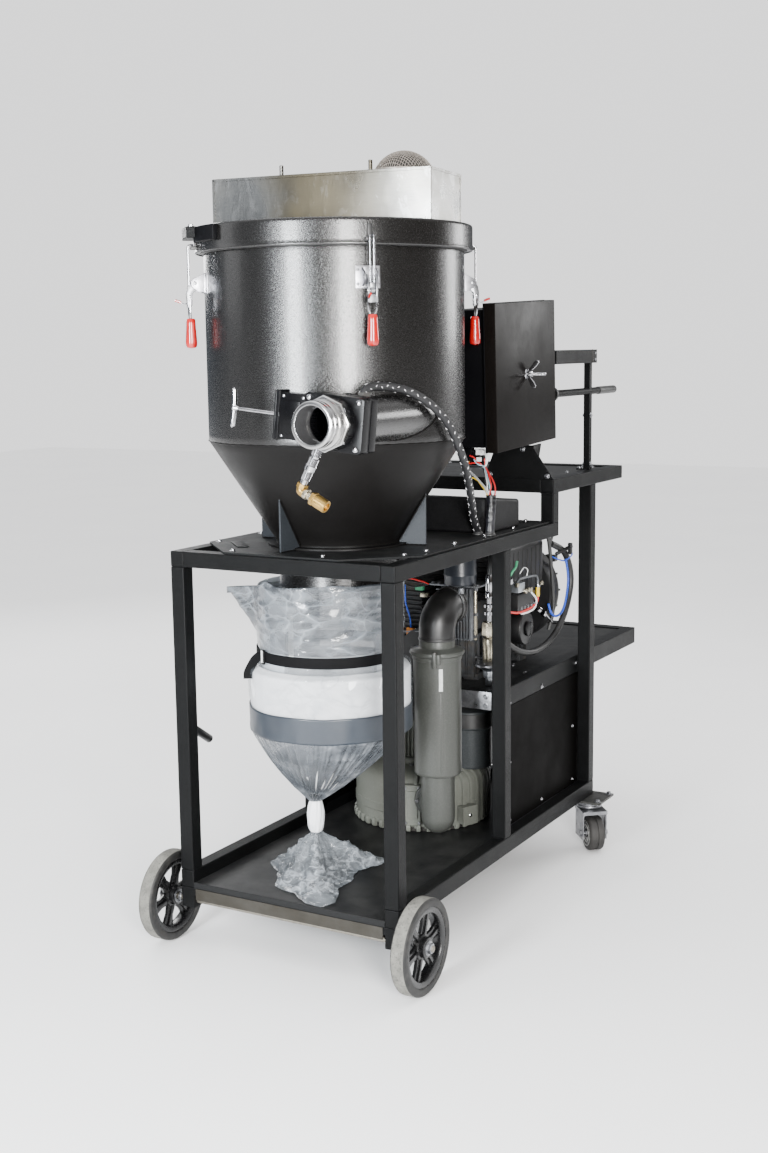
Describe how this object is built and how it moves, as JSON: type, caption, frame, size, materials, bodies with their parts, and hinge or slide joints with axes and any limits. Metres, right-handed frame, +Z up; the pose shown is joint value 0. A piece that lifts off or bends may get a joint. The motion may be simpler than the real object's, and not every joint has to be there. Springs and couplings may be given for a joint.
{
  "type": "dust extractor",
  "caption": "Wheeled cyclone dust extractor on a square tube cart: black drum with cone, slide valve inlet, hanging bag, grey blower, engine shelf and filter box.",
  "frame": {"origin": "on the ground under the middle of the bounding box", "axes": "+Z up, -Y towards the end with the big wheels and the inlet, +X to the side with the filter box cover"},
  "size_m": [0.784, 1.885, 1.927],
  "materials": {
    "aluminium": "turned",
    "band_blue": "blue grey band",
    "blower_grey": "grey paint",
    "brass": "turned",
    "clear_film": "clear film",
    "deck_black": "satin powder coat",
    "drum_black": "semi-gloss black",
    "engine_metal": "cast",
    "frame_black": "fine textured powder coat",
    "galvanised": "galvanised sheet",
    "hose_black": "braided sleeve with white flecks",
    "loom": "insulated wires",
    "mesh": "wire mesh",
    "panel_brown": "satin black",
    "red_grip": "glossy dipped grip",
    "rubber": "satin",
    "tyre": "dusty tread",
    "valve_plastic": "moulded",
    "white_film": "thin plastic film",
    "zinc": "zinc plated"
  },
  "bodies": {
    "cart": {"frame_posts": "frame_black", "side_rails": "frame_black", "cross_rails": "frame_black", "deck_plate": "deck_black", "shelf_plates": "deck_black", "base_tray": "deck_black", "side_panels": "panel_brown", "front_axle": "zinc", "axle_brackets": "frame_black", "caster_plates": "zinc", "drum_shell": "drum_black", "drum_cone": "drum_black", "cone_gussets": "drum_black", "inlet_pipe": "drum_black", "lid": "drum_black", "lid_lug": "drum_black", "latch_mounts": "zinc", "top_box": "galvanised", "mesh_dome": "mesh", "valve_body": "valve_plastic", "inlet_adapter": "aluminium", "drain_fitting": "brass", "bag_chute": "drum_black", "clear_sleeve": "clear_film", "bag_bands": "band_blue", "bag_pack": "white_film", "bag_cone": "white_film", "bag_tail": "white_film", "blower": "blower_grey", "silencers": "blower_grey", "rubber_elbow": "rubber", "engine_block": "engine_metal", "engine_shroud": "valve_plastic", "engine_housing": "valve_plastic", "intake_cover": "drum_black", "regulator": "brass", "filter_box": "panel_brown", "filter_cover": "panel_brown", "box_bracket": "frame_black", "tank_bracket": "frame_black", "braided_hose": "hose_black", "wiring_loom": "loom"},
    "wheel_left": {"wheel_left": "tyre"},
    "wheel_right": {"wheel_right": "tyre"},
    "caster_fork_left": {"caster_fork_left": "zinc"},
    "caster_fork_right": {"caster_fork_right": "zinc"},
    "caster_wheel_left": {"caster_wheel_left": "rubber"},
    "caster_wheel_right": {"caster_wheel_right": "rubber"},
    "latch_handle_a": {"latch_handle_a": "red_grip"},
    "latch_handle_b": {"latch_handle_b": "red_grip"},
    "latch_handle_c": {"latch_handle_c": "red_grip"},
    "latch_handle_d": {"latch_handle_d": "red_grip"},
    "latch_hook_a": {"latch_hook_a": "zinc"},
    "latch_hook_b": {"latch_hook_b": "zinc"},
    "latch_hook_c": {"latch_hook_c": "zinc"},
    "latch_hook_d": {"latch_hook_d": "zinc"},
    "valve_slide": {"valve_slide": "aluminium"}
  },
  "joints": [
    {"name": "wheel_left_spin", "type": "hinge", "parent": "cart", "child": "wheel_left", "pos_m": [-0.357, -0.679, 0.1143], "axis": [1, 0, 0], "continuous": true},
    {"name": "caster_left_swivel", "type": "hinge", "parent": "cart", "child": "caster_fork_left", "pos_m": [-0.311, 0.4675, 0.132], "axis": [0, 0, 1], "continuous": true},
    {"name": "caster_left_spin", "type": "hinge", "parent": "caster_fork_left", "child": "caster_wheel_left", "pos_m": [-0.33543, 0.43839, 0.0508], "axis": [0.766, -0.6428, 0], "continuous": true},
    {"name": "wheel_right_spin", "type": "hinge", "parent": "cart", "child": "wheel_right", "pos_m": [0.357, -0.679, 0.1143], "axis": [1, 0, 0], "continuous": true},
    {"name": "caster_right_swivel", "type": "hinge", "parent": "cart", "child": "caster_fork_right", "pos_m": [0.311, 0.4675, 0.132], "axis": [0, 0, 1], "continuous": true},
    {"name": "caster_right_spin", "type": "hinge", "parent": "caster_fork_right", "child": "caster_wheel_right", "pos_m": [0.33543, 0.43839, 0.0508], "axis": [0.766, 0.6428, 0], "continuous": true},
    {"name": "latch_a_pull", "type": "hinge", "parent": "cart", "child": "latch_handle_a", "pos_m": [0.24042, -0.66292, 1.63], "axis": [-0.7071, -0.7071, 0], "range_deg": [0, 100]},
    {"name": "latch_a_hook", "type": "hinge", "parent": "latch_handle_a", "child": "latch_hook_a", "pos_m": [0.2489, -0.6714, 1.6], "axis": [-0.7071, -0.7071, 0], "range_deg": [-140, 0]},
    {"name": "latch_b_pull", "type": "hinge", "parent": "cart", "child": "latch_handle_b", "pos_m": [-0.24042, -0.66292, 1.63], "axis": [-0.7071, 0.7071, 0], "range_deg": [0, 100]},
    {"name": "latch_b_hook", "type": "hinge", "parent": "latch_handle_b", "child": "latch_hook_b", "pos_m": [-0.2489, -0.6714, 1.6], "axis": [-0.7071, 0.7071, 0], "range_deg": [-140, 0]},
    {"name": "latch_c_pull", "type": "hinge", "parent": "cart", "child": "latch_handle_c", "pos_m": [0.25267, -0.195, 1.63], "axis": [0.6691, -0.7431, 0], "range_deg": [0, 100]},
    {"name": "latch_c_hook", "type": "hinge", "parent": "latch_handle_c", "child": "latch_hook_c", "pos_m": [0.26159, -0.18697, 1.6], "axis": [0.6691, -0.7431, 0], "range_deg": [-140, 0]},
    {"name": "latch_d_pull", "type": "hinge", "parent": "cart", "child": "latch_handle_d", "pos_m": [-0.24042, -0.18208, 1.63], "axis": [0.7071, 0.7071, 0], "range_deg": [0, 100]},
    {"name": "latch_d_hook", "type": "hinge", "parent": "latch_handle_d", "child": "latch_hook_d", "pos_m": [-0.2489, -0.1736, 1.6], "axis": [0.7071, 0.7071, 0], "range_deg": [-140, 0]},
    {"name": "valve_slide_in", "type": "slide", "parent": "cart", "child": "valve_slide", "axis": [0.9945, 0, -0.1045], "range_m": [0, 0.093]}
  ],
  "couplings": [
    {"joint": "latch_a_hook", "follows": "latch_a_pull", "ratio": -1.4},
    {"joint": "latch_b_hook", "follows": "latch_b_pull", "ratio": -1.4},
    {"joint": "latch_c_hook", "follows": "latch_c_pull", "ratio": -1.4},
    {"joint": "latch_d_hook", "follows": "latch_d_pull", "ratio": -1.4}
  ]
}
